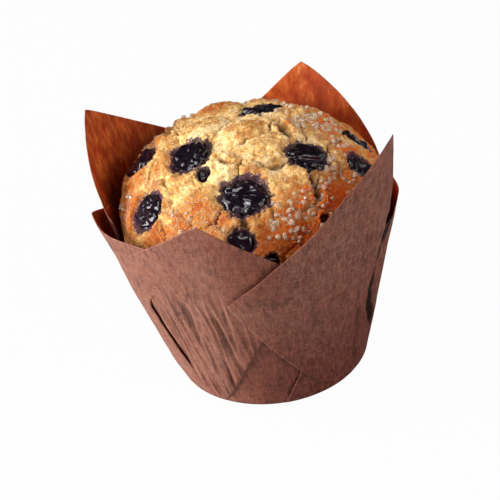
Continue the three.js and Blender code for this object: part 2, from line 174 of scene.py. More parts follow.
class Wire:
    """A socket in a node tree. Arithmetic on it adds Math nodes, and add() makes any other node."""

    def __init__(self, tree, socket):
        self.tree, self.socket = tree, socket

    def add(self, kind, settings=None, sockets=None, out=0):
        return add_node(self.tree, kind, settings, sockets, out)

    def pick(self, name):
        return Wire(self.tree, self.socket.node.outputs[name])

    def math(self, operation, *others, clamp=False):
        values = dict(enumerate((self, *others)))
        return self.add("ShaderNodeMath", {"operation": operation, "use_clamp": clamp}, values)

    def __add__(self, other):
        return self.math("ADD", other)

    __radd__ = __add__

    def __sub__(self, other):
        return self.math("SUBTRACT", other)

    def __rsub__(self, other):
        return self.add("ShaderNodeMath", {"operation": "SUBTRACT"}, {0: other, 1: self})

    def __mul__(self, other):
        return self.math("MULTIPLY", other)

    __rmul__ = __mul__

    def __truediv__(self, other):
        return self.math("DIVIDE", other)

    def __rtruediv__(self, other):
        return self.add("ShaderNodeMath", {"operation": "DIVIDE"}, {0: other, 1: self})

    def __pow__(self, other):
        return self.math("POWER", other)

    def __neg__(self):
        return self * -1.0

    def __abs__(self):
        return self.math("ABSOLUTE")

    def least(self, other):
        return self.math("MINIMUM", other)

    def most(self, other):
        return self.math("MAXIMUM", other)

    def clamped(self):
        return self.math("ADD", 0.0, clamp=True)

    def step(self, start, end, low=0.0, high=1.0):
        """Eases from low at start to high at end, and stays there on either side."""
        ranges = {"Value": self, "From Min": start, "From Max": end, "To Min": low, "To Max": high}
        return self.add("ShaderNodeMapRange", {"interpolation_type": "SMOOTHSTEP"}, ranges)

    def vector(self, operation, *others, out=0):
        values = dict(enumerate((self, *others)))
        return self.add("ShaderNodeVectorMath", {"operation": operation}, values, out)

    def shift(self, other):
        return self.vector("ADD", other)

    def scaled(self, factor):
        return self.add("ShaderNodeVectorMath", {"operation": "SCALE"}, {0: self, "Scale": factor})

    def stretched(self, factors):
        return self.vector("MULTIPLY", factors)

    def dot(self, other):
        return self.vector("DOT_PRODUCT", other, out="Value")

    def length(self):
        return self.vector("LENGTH", out="Value")

    def noise(self, size, detail=2.0, rough=0.5, out="Fac", warp=0.0, seed=0.0):
        """Cloudy unevenness between 0 and 1, with features of about the given size."""
        sockets = {"Vector": self, "W": seed, "Scale": 1.0 / size, "Detail": detail, "Roughness": rough, "Distortion": warp}
        return self.add("ShaderNodeTexNoise", {"noise_dimensions": "4D"}, sockets, out)

    def cells(self, size, feature="F1", out="Distance", jitter=1.0):
        sockets = {"Vector": self, "Scale": 1.0 / size, "Randomness": jitter}
        return self.add("ShaderNodeTexVoronoi", {"feature": feature}, sockets, out)


def add_node(tree, kind, settings=None, sockets=None, out=0):
    """Makes one node: its settings first, then the values or links of its sockets."""
    node = tree.nodes.new(kind)
    for name, value in (settings or {}).items():
        if name == "stops":
            ramp = node.color_ramp.elements
            while len(ramp) < len(value):
                ramp.new(0.5)
            for element, (place, colour) in zip(ramp, value):
                element.position, element.color = place, (*colour, 1.0)
        else:
            setattr(node, name, value)
    for name, value in (sockets or {}).items():
        if isinstance(value, Wire):
            tree.links.new(value.socket, node.inputs[name])
        else:
            node.inputs[name].default_value = value
    return Wire(tree, node.outputs[out] if len(node.outputs) else None)


def mix_colour(share, first, second, blend="MIX"):
    """The first colour where share is 0 and the second where it is 1."""
    tree = share.tree
    return add_node(tree, "ShaderNodeMix", {"data_type": "RGBA", "blend_type": blend}, {0: share, 6: first, 7: second}, 2)


def rgb(red, green, blue):
    """A colour as it is seen on a screen, from 0 to 255, as the light it reflects."""
    light = [((c / 255 + 0.055) / 1.055) ** 2.4 if c > 10.3 else c / 255 / 12.92 for c in (red, green, blue)]
    return (*light, 1.0)


def nearest_line(place, lines):
    """Distance to the nearest of several lines, each given by its points."""
    nearest = None
    for points in lines:
        for start, end in zip(points, points[1:]):
            run = end - start
            share = place.vector("SUBTRACT", tuple(start)).dot(tuple(run / run.length_squared)).clamped()
            foot = share.add("ShaderNodeVectorMath", {"operation": "SCALE"}, {0: tuple(run), "Scale": share})
            gap = place.vector("DISTANCE", foot.shift(tuple(start)), out="Value")
            nearest = gap if nearest is None else nearest.least(gap)
    return nearest


class Recipe:
    """A geometry tree with named inputs, which makes one plain mesh for each piece."""

    def __init__(self, name, inputs):
        self.tree = bpy.data.node_groups.new(name, "GeometryNodeTree")
        self.tree.interface.new_socket("Geometry", in_out="OUTPUT", socket_type="NodeSocketGeometry")
        self.keys = {}
        for label, value in inputs.items():
            kind = {float: "Float", int: "Int", bpy.types.Object: "Object"}[type(value)]
            item = self.tree.interface.new_socket(label, in_out="INPUT", socket_type="NodeSocket" + kind)
            self.keys[label] = item.identifier
            if kind != "Object":
                item.default_value = value
        self.defaults = inputs
        self.group = self.tree.nodes.new("NodeGroupInput")

    def __getitem__(self, label):
        return Wire(self.tree, self.group.outputs[label])

    def add(self, kind, settings=None, sockets=None, out=0):
        return add_node(self.tree, kind, settings, sockets, out)

    def grid(self, columns, rows):
        """A flat grid, with its two running numbers from 0 to 1."""
        sheet = self.add("GeometryNodeMeshGrid", None, {"Size X": 1.0, "Size Y": 1.0, "Vertices X": columns, "Vertices Y": rows})
        place = self.add("ShaderNodeSeparateXYZ", None, {0: self.add("GeometryNodeInputPosition")})
        return sheet, place.pick("X") + 0.5, place.pick("Y") + 0.5

    def point(self, x, y, z):
        return self.add("ShaderNodeCombineXYZ", None, {0: x, 1: y, 2: z})

    def store(self, geometry, label, value):
        settings = {"data_type": "FLOAT", "domain": "POINT"}
        return self.add("GeometryNodeStoreNamedAttribute", settings, {"Geometry": geometry, "Name": label, "Value": value})

    def placed(self, geometry, position):
        return self.add("GeometryNodeSetPosition", None, {"Geometry": geometry, "Position": position})

    def close(self, geometry, material, smooth=True):
        """Scales the result to metres, realizes it and gives it its material."""
        sized = self.add("GeometryNodeTransform", None, {"Geometry": geometry, "Scale": (MM, MM, MM)})
        whole = self.add("GeometryNodeRealizeInstances", None, {"Geometry": sized})
        shaded = self.add("GeometryNodeSetShadeSmooth", None, {"Geometry": whole, "Shade Smooth": smooth})
        dressed = self.add("GeometryNodeSetMaterial", None, {"Geometry": shaded, "Material": material})
        end = self.tree.nodes.new("NodeGroupOutput")
        self.tree.links.new(dressed.socket, end.inputs[0])

    def make(self, name, values=None, thickness=None, lining=None):
        """A plain mesh object made by the tree, with a wall of the given thickness where one is asked for."""
        holder = bpy.data.objects.new(name + "_maker", bpy.data.meshes.new(name + "_maker"))
        bpy.context.scene.collection.objects.link(holder)
        modifier = holder.modifiers.new(name, "NODES")
        modifier.node_group = self.tree
        for label, value in {**self.defaults, **(values or {})}.items():
            modifier[self.keys[label]] = value
        bpy.context.view_layer.update()
        plain = bpy.data.meshes.new_from_object(holder.evaluated_get(bpy.context.evaluated_depsgraph_get()))
        bpy.data.objects.remove(holder)
        piece = bpy.data.objects.new(name, plain)
        bpy.context.scene.collection.objects.link(piece)
        if thickness:
            plain.materials.append(lining)
            wall = piece.modifiers.new("wall", "SOLIDIFY")
            wall.thickness, wall.offset, wall.use_even_offset = thickness * MM, -1.0, False
            wall.material_offset, wall.material_offset_rim = 1, 0
            bpy.context.view_layer.update()
            piece.data = bpy.data.meshes.new_from_object(piece.evaluated_get(bpy.context.evaluated_depsgraph_get()))
            piece.modifiers.clear()
        piece.data.name = name
        return piece


def settle(piece, slot, *nodes):
    """The finished piece rides on the one body and stands for its solids, which are hidden."""
    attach(piece, "root")
    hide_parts(*nodes)
    return piece


# Materials. Each one reads Object coordinates in millimetres, or what its tree stored on the mesh.


def finish_tree(name):
    material = bpy.data.materials.new(name)
    material.use_nodes = True
    tree = material.node_tree
    skin = next(n for n in tree.nodes if n.type == "BSDF_PRINCIPLED")
    place = add_node(tree, "ShaderNodeTexCoord", None, None, "Object").scaled(1 / MM)
    return material, tree, skin, place


def feed(tree, skin, values):
    for name, value in values.items():
        if isinstance(value, Wire):
            tree.links.new(value.socket, skin.inputs[name])
        else:
            skin.inputs[name].default_value = value


def bumped(height, strength, distance):
    return height.add("ShaderNodeBump", None, {"Strength": strength, "Distance": distance * MM, "Height": height})


def stored(tree, label):
    return add_node(tree, "ShaderNodeAttribute", {"attribute_name": label}, None, "Fac")


def paper_outside():
    material, tree, skin, place = finish_tree("paper_outside")
    height = place.add("ShaderNodeSeparateXYZ", None, {0: place}, "Z")
    side = height.pick("X")
    grain = place.noise(0.32, 2.0, 0.7)
    weave = place.stretched((1.0, 1.0, 0.2)).noise(0.7, 2.0, seed=5.0) + place.stretched((0.25, 0.25, 1.0)).noise(0.7, 2.0, seed=6.0) * 0.6 + 0.2
    clouds = place.noise(14.0, 3.0, 0.6)
    blots = place.noise(5.5, 3.0, 0.55, seed=3.0)
    base = mix_colour(clouds.step(0.35, 0.65), rgb(122, 70, 55), rgb(136, 88, 73))
    # Painted shade: the wall turns darker and redder towards the right, away from the key light, and most of all low on
    # the front.
    shade = side.step(-16.0, -2.0) * height.step(2.0, 30.0, 0.6, 0.2) + side.step(-6.0, 14.0) * 0.5 + side.step(14.0, 34.0) * 0.15
    darker = mix_colour(shade.clamped(), base, rgb(90, 30, 18))
    grease_and_shade = mix_colour(height.step(50.0, 68.0) * clouds.step(0.3, 0.6) * 0.5, darker, rgb(112, 46, 28))
    greyed = mix_colour(blots.step(0.45, 0.62) * side.step(-6.0, 14.0, 0.4, 0.5), grease_and_shade, rgb(80, 55, 52))
    pale = mix_colour((grain * 0.7 + weave * 0.35).step(0.55, 0.9) * 0.95, greyed, rgb(170, 116, 96))
    fibres = place.stretched((1.0, 1.0, 0.3)).noise(1.6, 3.0, 0.6, seed=9.0)
    dark = mix_colour(fibres.step(0.48, 0.72) * 0.55, pale, rgb(66, 38, 32))
    # Painted shade: darker towards the bottom of the front and right. The front petal is also darker just beside the
    # right petal's edge.
    low = side.step(-18.0, -4.0) * height.step(5.0, 58.0, 1.0, 0.0)
    lapped = side.step(-18.0, -8.0) * side.step(2.0, 10.0, 1.0, 0.0) * height.step(36.0, 44.0) * 0.6
    dark = mix_colour(low.most(lapped), dark, (0.72, 0.52, 0.48, 1.0), "MULTIPLY")
    # Painted shade in the flute valleys and painted shadow in the tucks of the inner ply, from the stored mark.
    shaded = mix_colour(stored(tree, "creased").step(0.1, 0.7) * 0.92, dark, rgb(20, 9, 6))
    relief = grain * 0.5 + weave * 0.25 + place.noise(0.25, 2.0, seed=5.0) * 0.25
    feed(tree, skin, {"Base Color": shaded, "Roughness": 0.62 + grain * 0.16, "Normal": bumped(relief, 0.7, 0.22)})
    feed(tree, skin, {"Specular IOR Level": 0.25})
    return material


def paper_inside():
    material, tree, skin, place = finish_tree("paper_inside")
    streaks = place.stretched((1.0, 1.0, 0.4)).noise(2.2, 4.0, 0.65)
    grease = place.stretched((1.0, 1.0, 0.5)).noise(5.5, 3.0, 0.55, seed=2.0)
    side = place.add("ShaderNodeSeparateXYZ", None, {0: place}, "X")
    base = mix_colour(streaks.step(0.36, 0.64), rgb(156, 48, 8), rgb(200, 94, 34))
    # Greasy blotches, plus painted shade that darkens the lining towards the right, where the crown blocks the key
    # light.
    grease_and_shade = mix_colour((grease.step(0.42, 0.66) * 0.6 + side.step(0.0, 26.0) * 0.4).clamped(), base, rgb(136, 48, 14))
    pale = mix_colour(streaks.step(0.56, 0.74) * 0.55, grease_and_shade, rgb(226, 142, 78))
    relief = streaks * 0.5 + place.noise(0.4, 2.0) * 0.5
    feed(tree, skin, {"Base Color": pale, "Roughness": 0.55 + grease * 0.25, "Normal": bumped(relief, 0.3, 0.2)})
    feed(tree, skin, {"Specular IOR Level": 0.2})
    return material


def baked_crust():
    material, tree, skin, place = finish_tree("baked_crust")
    browned, crack, stain = stored(tree, "browned"), stored(tree, "crack"), stored(tree, "stain")
    side = place.add("ShaderNodeSeparateXYZ", None, {0: place}, "X")
    blotches = place.noise(3.0, 3.0, 0.6, seed=4.0)
    specks = place.noise(1.2, 3.0, 0.65, seed=6.0)
    gaps = place.noise(0.7, 2.0, 0.6, seed=12.0)
    share = (browned + (blotches - 0.5) * 2.0 + (specks - 0.5) * 1.2).clamped()
    stops = [
        (0.0, rgb(250, 216, 160)[:3]), (0.25, rgb(240, 190, 114)[:3]), (0.5, rgb(196, 140, 78)[:3]),
        (0.75, rgb(196, 122, 50)[:3]), (1.0, rgb(176, 86, 24)[:3]),
    ]
    crumb = share.add("ShaderNodeValToRGB", {"stops": stops}, {"Fac": share})
    toasted = mix_colour(side.step(0.0, 16.0) * share.step(0.5, 1.0) * 0.75, crumb, rgb(222, 104, 12))
    pored = mix_colour(gaps.step(0.28, 0.42, 0.25, 0.0), toasted, rgb(140, 78, 28))
    # Painted shade: cracks, creases and pits are darkened.
    deep = mix_colour(crack.step(0.3, 0.9) * 0.85, pored, rgb(82, 44, 18))
    juice = mix_colour(stain.step(0.3, 0.75), rgb(128, 92, 100), rgb(46, 20, 48))
    stained = mix_colour((stain + (specks - 0.5) * 2.4 * stain.step(0.0, 0.3)).step(0.3, 0.6) * 0.92, deep, juice)
    relief = specks * 0.45 + place.noise(0.35, 2.0, seed=9.0) * 0.3 + gaps.step(0.3, 0.55) * 0.3
    rough = 0.68 - stain * 0.15 + (blotches - 0.5) * 0.3
    feed(tree, skin, {"Base Color": stained, "Roughness": rough, "Normal": bumped(relief, 1.0, 0.6)})
    feed(tree, skin, {"Specular IOR Level": 0.25})
    return material


def berry_skin():
    material, tree, skin, place = finish_tree("berry_skin")
    folds = place.noise(2.2, 3.0, 0.6, warp=0.8)
    bloom = place.noise(3.4, 2.0, 0.5, seed=2.0)
    base = mix_colour(folds.step(0.3, 0.7), rgb(11, 6, 12), rgb(26, 13, 26))
    red = mix_colour(place.noise(4.0, 2.0, seed=5.0).step(0.55, 0.75) * 0.4, base, rgb(58, 20, 40))
    dusty = mix_colour(bloom.step(0.6, 0.82) * 0.25, red, rgb(84, 76, 98))
    rough = 0.13 + bloom.step(0.4, 0.75) * 0.2
    relief = folds * 0.7 + place.noise(0.7, 2.0, 0.6) * 0.3
    feed(tree, skin, {"Base Color": dusty, "Roughness": rough, "Normal": bumped(relief, 0.08, 0.3)})
    feed(tree, skin, {"Specular IOR Level": 0.5})
    return material


def sugar_crystal():
    material, tree, skin, place = finish_tree("sugar_crystal")
    cloudy = place.noise(0.6, 2.0)
    tint = mix_colour(cloudy.step(0.35, 0.7), rgb(255, 238, 214), rgb(255, 222, 180))
    feed(tree, skin, {"Base Color": tint, "Roughness": 0.08 + cloudy * 0.15, "IOR": 1.32, "Transmission Weight": 0.6})
    return material


def floor_finish():
    """A pale matt floor that stays bright in the picture."""
    material, tree, skin, place = finish_tree("floor_finish")
    shade = mix_colour(place.noise(60.0), rgb(176, 176, 176), rgb(180, 180, 180))
    feed(tree, skin, {"Base Color": shade, "Roughness": 0.9})
    seen = add_node(tree, "ShaderNodeLightPath", None, None, "Is Camera Ray")
    glow = add_node(tree, "ShaderNodeEmission", None, {"Color": (1, 1, 1, 1), "Strength": 1.0})
    both = add_node(tree, "ShaderNodeMixShader", None, {0: seen * 0.97, 1: Wire(tree, skin.outputs[0]), 2: glow})
    end = next(n for n in tree.nodes if n.type == "OUTPUT_MATERIAL")
    tree.links.new(both.socket, end.inputs["Surface"])
    return material


# The paper case.


def eased(value, knots):
    """A running value eased through knots of (place, height)."""
    total = knots[0][1]
    for (start, low), (end, high) in zip(knots, knots[1:]):
        total = value.step(float(start), float(end), 0.0, float(high - low)) + total
    return total


def rim_at(bearing):
    closing = (RIM[0][0] + 360, *RIM[0][1:])
    knots = [*RIM, closing]
    height = eased(bearing, [(k[0], k[1]) for k in knots])
    bulge = eased(bearing, [(k[0], k[2]) for k in knots])
    return height, bulge


def on_the_bearing(recipe, bearing, radius, height):
    angle = bearing * (math.pi / 180)
    return recipe.point(radius * angle.math("COSINE"), radius * angle.math("SINE"), height)


def base_tuck(height):
    """How far the soft base edge draws in from the wall at a height."""
    below = (BASE_ROUNDING - height).most(0.0).least(BASE_ROUNDING)
    return BASE_ROUNDING - (BASE_ROUNDING**2 - below * below).most(0.0) ** 0.5


def paper_ripple(recipe, bearing, height, seed):
    """The slight unevenness that all of the sheet has, as a distance out of the wall."""
    spot = recipe.point(bearing * 0.55, height, seed)
    broad = spot.noise(14.0, 2.0, 0.5) - 0.5
    fine = spot.stretched((1.0, 0.4, 1.0)).noise(3.0, 2.0, 0.5) - 0.5
    return broad * 0.7 + fine * 0.16


def petal_recipe(outside):
    sizes = {**PETALS["petal_front"], "Seed": 0.0, "Columns": 200, "Rows": 120}
    r = Recipe("petal_sheet", sizes)
    sheet, across, up = r.grid(r["Columns"], r["Rows"])
    left, right, tip = r["Left Bearing"], r["Right Bearing"], r["Tip Bearing"]
    bearing = left + (right - left) * across

    # Heights of the cut edge and of the fold line, falling away from the tip and rising from the foot.
    to_left = ((tip - bearing) / (tip - left)).clamped()
    to_right = ((bearing - tip) / (right - tip)).clamped()
    away = abs(bearing - tip)
    cut = r["Tip Height"] - (r["Tip Height"] - r["Left High"]) * to_left - (r["Tip Height"] - r["Right High"]) * to_right
    cut = cut + r["Left Bow"] * (to_left * math.pi).math("SINE") + r["Right Bow"] * (to_right * math.pi).math("SINE")
    cut = cut - r["Blunt"] * away.step(0.0, 4.0, 1.0, 0.0)
    up_left = ((r["Foot Left"] - bearing) / (r["Foot Left"] - left)).clamped()
    up_right = ((bearing - r["Foot Right"]) / (right - r["Foot Right"])).clamped()
    fold = r["Left Low"] * up_left ** r["Left Fold"] + r["Right Low"] * up_right ** r["Right Fold"] + 0.25
    height = fold + (cut - fold) * up

    # Its distance from the axis: the wall, the wing's lift over its neighbour, the bulge of the ply below, and creases.
    rim_height, rim_bulge = rim_at(bearing)
    bulge = rim_bulge * ((height - BASE_ROUNDING).most(0.0) / rim_height) ** BULGE_POWER
    wing_left, wing_right = (tip - bearing).step(20.0, 36.0), (bearing - tip).step(20.0, 36.0)
    lift = r["Left Lift"] * wing_left + r["Right Lift"] * wing_right
    gape = r["Gape"] * to_left.step(0.3, 0.6) * to_left.step(0.8, 1.0, 1.0, 0.0) * up.step(0.35, 1.0)
    within = abs(bearing - r["Flute Middle"]).step(r["Flute Reach"] * 0.5, r["Flute Reach"], 1.0, 0.0)
    within = within * height.step(r["Flute Top"] * 0.7, r["Flute Top"], 1.0, 0.0) * height.step(0.0, 7.0)
    fanned = r.point(bearing * 0.55 + height * 0.1, height * 0.09, r["Seed"])
    flutes = 1.0 - abs(fanned.noise(2.6, 1.0, 0.4, warp=0.25) - 0.5) * 7.0
    # The valleys between the flutes are marked for painted shade.
    valleys = flutes.step(-0.6, 0.5, 0.34, 0.0) * within
    flutes = r["Flute Depth"] * within * flutes.most(-0.6)
    steep_left = r["Left Low"] * r["Left Fold"] * up_left.most(0.05) ** (r["Left Fold"] - 1.0)
    steep_left = steep_left / ((r["Foot Left"] - left) * WALL_PER_DEGREE) * up_left.step(0.0, 0.04)
    steep_right = r["Right Low"] * r["Right Fold"] * up_right.most(0.05) ** (r["Right Fold"] - 1.0)
    steep_right = steep_right / ((right - r["Foot Right"]) * WALL_PER_DEGREE) * up_right.step(0.0, 0.04)
    steep = steep_left + steep_right
    seamed = (height - fold) / (1.0 + steep * steep) ** 0.5
    ended = ((bearing - left).least(right - bearing) * WALL_PER_DEGREE).least(seamed)
    hem = (1.0 - (ended / 0.8).clamped()) ** 2.0 * -0.4
    slit = r["Left Slit"] * up_left.step(0.1, 0.35) * up_left.step(0.75, 1.0, 1.0, 0.0)
    slit = slit + r["Right Slit"] * up_right.step(0.1, 0.35) * up_right.step(0.9, 1.0, 1.0, 0.0)
    lift = lift + slit * seamed.step(0.0, 8.0, 1.0, 0.0)
    drawn = height.step(0.0, 8.0, 0.42, 0.0)
    radius = BASE_RADIUS + height * WALL_FLARE - base_tuck(height) + r["Bulges"] * bulge + lift + gape + flutes + hem - drawn
    radius = radius + paper_ripple(r, bearing, height, r["Seed"]) * height.step(0.0, 8.0)
    sheet = r.store(sheet, "creased", valleys)
    r.close(r.placed(sheet, on_the_bearing(r, bearing, radius, height)), outside)
    return r


def flap_recipe(outside):
    """A loose fold of the sheet on the wall, between two slanting lines. A free edge stands off the wall."""
    sizes = {**FLAPS["case_low_fold"], "Columns": 90, "Rows": 110}
    r = Recipe("loose_fold", sizes)
    sheet, across, up = r.grid(r["Columns"], r["Rows"])
    height = 0.25 + (r["Top"] - 0.25) * up
    under = height.step(r["Under"], r["Under"] + 14.0)
    wander = (r.point(height, 0.0, r["Seed"]).noise(8.0, 2.0) - 0.5) * r["Wander"] * height.step(2.0, 10.0)
    left = r["Left Foot"] + (r["Left Top"] - r["Left Foot"]) * up ** r["Bend"] + wander
    right = r["Right Foot"] + (r["Right Top"] - r["Right Foot"]) * up ** r["Bend"] + wander + r["Tucked"] * under
    bearing = left + (right - left) * across
    free = (1.0 - across) * r["Left Free"] + across * r["Right Free"]
    inward = (bearing - left).least(right - bearing) * WALL_PER_DEGREE
    hem = (1.0 - (inward / 0.6).clamped()) ** 2.0 * -0.25
    off = free * inward.step(0.0, 5.0, 1.0, 0.0) * up.step(0.05, 0.3) * (1.0 - under)
    rim_height, rim_bulge = rim_at(bearing)
    bulge = rim_bulge * ((height - BASE_ROUNDING).most(0.0) / rim_height) ** BULGE_POWER
    lies = r["Lies"] * height.step(0.0, 8.0) * (1.0 - under) - 0.4
    radius = BASE_RADIUS + height * WALL_FLARE - base_tuck(height) + lies + bulge + off + hem
    radius = radius + paper_ripple(r, bearing, height, CUP_SEED) * height.step(0.0, 8.0)
    r.close(r.placed(sheet, on_the_bearing(r, bearing, radius, height)), outside)
    return r


def cup_recipe(outside):
    r = Recipe("inner_ply", {"Columns": 401, "Rows": 118, "Rounding": BASE_ROUNDING, "Tuck": 1.9, "Tuck Width": 5.0})
    sheet, across, up = r.grid(r["Columns"], r["Rows"])
    bearing = across * 360.0 + float(RIM[0][0])
    rim_height, rim_bulge = rim_at(bearing)
    floor, corner, wall = (up / 0.1).clamped(), ((up - 0.1) / 0.06).clamped(), ((up - 0.16) / 0.84).clamped()
    rounding = r["Rounding"]
    turn = corner * (math.pi / 2)
    height = rounding * (1.0 - turn.math("COSINE")) + (rim_height - rounding) * wall
    bulge = rim_bulge * ((height - rounding).most(0.0) / rim_height) ** BULGE_POWER
    flat = (BASE_RADIUS - CUP_INSET - rounding) * floor + rounding * turn.math("SINE")
    spot = r.point(bearing * WALL_PER_DEGREE, height, 0.0)
    wobble = (spot.noise(7.0, 2.0, 0.5) - 0.5) * 1.6
    dip = shadow = None
    for line in TUCKS:
        # The ply slopes in to the line from one side and steps out again beyond it.
        beyond = (bearing - eased(height, [(z, b) for b, z in reversed(line)])) * WALL_PER_DEGREE + wobble
        part = height.step(float(line[-1][1]), line[-1][1] + 8.0) * height.step(line[0][1] - 2.0, line[0][1] + 4.0, 1.0, 0.0)
        slope = beyond.step(-r["Tuck Width"], -0.3) * beyond.step(-0.2, 1.0, 1.0, 0.0) * part
        # The far wall of each tuck is marked for painted shadow.
        dark = beyond.step(-1.0, -0.1) * beyond.step(0.3, 1.1, 1.0, 0.0) * part
        dip, shadow = (slope, dark) if dip is None else (dip.most(slope), shadow.most(dark))
    tuck = dip * r["Tuck"] * (rim_height - height).step(0.0, 7.0, 0.2, 1.0)
    shadow = shadow * spot.noise(6.0, 2.0, 0.5, seed=9.0).step(0.35, 0.55, 0.55, 1.0)
    waves = paper_ripple(r, bearing, height, CUP_SEED) * height.step(0.0, 8.0)
    seam = abs(across - 0.5).step(0.47, 0.5, 1.0, 0.0)
    radius = (flat + height * WALL_FLARE + bulge - tuck + waves * seam).most(0.0)
    sheet = r.store(sheet, "creased", shadow)
    cup = r.placed(sheet, on_the_bearing(r, bearing, radius, height))
    joined = r.add("GeometryNodeMergeByDistance", None, {"Geometry": cup, "Distance": 0.002})
    r.close(joined, outside)
    return r


# The muffin.


def crown_point(bearing, lean):
    turn, tilt = math.radians(bearing), math.radians(lean)
    out = CROWN_RADIUS * math.sin(tilt)
    shift = CROWN_SHIFT * math.cos(tilt)
    return Vector((shift + out * math.cos(turn), out * math.sin(turn), CROWN_BASE + CROWN_RISE * math.cos(tilt)))


def all_crags():
    """The named lumps, and a golden spiral of smaller ones wherever there is room beside them."""
    lumps = [(crown_point(bearing, lean), reach) for bearing, lean, reach in CRAGS]
    for i in range(SPIRAL_CRAGS):
        middle = crown_point(i * GOLDEN_ANGLE, 12 + 70 * math.sqrt((i + 0.5) / SPIRAL_CRAGS))
        if all((middle - other).length > 0.75 * reach for other, reach in lumps):
            lumps.append((middle, SPIRAL_REACH))
    return lumps


def measure_berry(node):
    """Middle, axes and half lengths of a berry's solid in millimetres. The last axis points out of the crust."""
    points = np.array([v.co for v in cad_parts[node].data.vertices]) / MM
    points = np.unique(points.round(4), axis=0)
    low, high = points.min(0), points.max(0)
    middle = (low + high) / 2
    spread, axes = np.linalg.eigh(np.cov((points - middle).T))
    outward = (middle - (0, 0, CROWN_BASE)) / (CROWN_RADIUS**2, CROWN_RADIUS**2, CROWN_RISE**2)
    order = np.argsort(np.abs(outward @ axes))
    axes = axes[:, order]
    axes[:, 2] *= np.sign(outward @ axes[:, 2])
    axes[:, 1] = np.cross(axes[:, 2], axes[:, 0])
    along = (points - middle) @ axes
    halves = (along.max(0) - along.min(0)) / 2
    return Vector(middle), [Vector(a) for a in axes.T], halves


BERRY_NODES = sorted(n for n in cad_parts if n.startswith("berry_"))
berries = {node: measure_berry(node) for node in BERRY_NODES}


def patches(place, zones):
    """The summed strength of patches of crust, each easing to nothing at its reach."""
    total = None
    for bearing, lean, reach, strength in zones:
        near = place.vector("DISTANCE", tuple(crown_point(bearing, lean)), out="Value").step(0.0, reach, strength, 0.0)
        total = near if total is None else total + near
    return total


